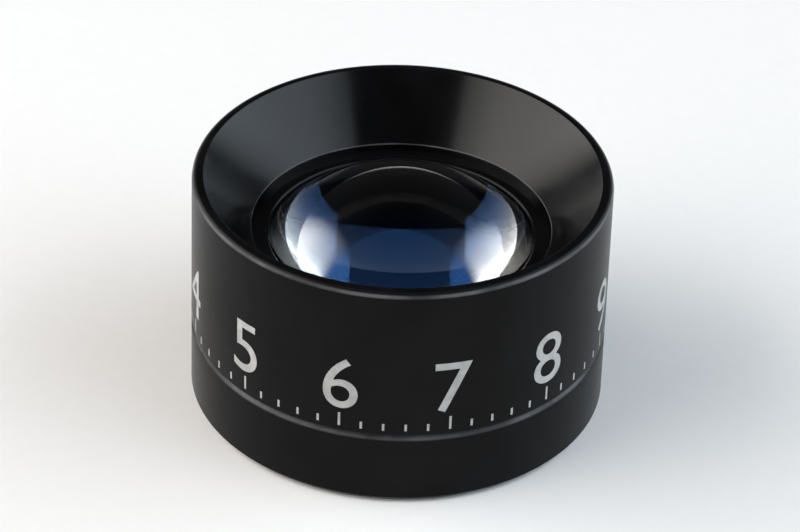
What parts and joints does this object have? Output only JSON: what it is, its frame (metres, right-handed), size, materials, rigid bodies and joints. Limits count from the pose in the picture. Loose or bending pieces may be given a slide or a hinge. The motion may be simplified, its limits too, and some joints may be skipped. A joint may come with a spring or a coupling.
{
  "type": "diagnostic aspheric lens",
  "caption": "Hand-held double aspheric lens for slit lamp examination: a thick biconvex glass in a short black turned ring that flares into a bell round its front face.",
  "frame": {"origin": "centre of the face that the lens stands on, on the optical axis", "axes": "+Z along the optical axis, out of the bell; -Y towards the middle of the numerals, which face the camera"},
  "size_m": [0.026, 0.026, 0.0155],
  "materials": {
    "barrel_metal": "satin black anodised",
    "lens_glass": "polished, with a blue anti-reflection coating",
    "cushion_rubber": "matt black",
    "retainer_metal": "matt black anodised",
    "base_metal": "satin black anodised",
    "dial_marking": "grey-white marking on the barrel's outer wall, slightly worn"
  },
  "bodies": {
    "root": {"bell_barrel": "barrel_metal", "glass_lens": "lens_glass", "cushion_ring": "cushion_rubber", "retaining_ring": "retainer_metal", "base_ring": "base_metal"}
  },
  "joints": []
}
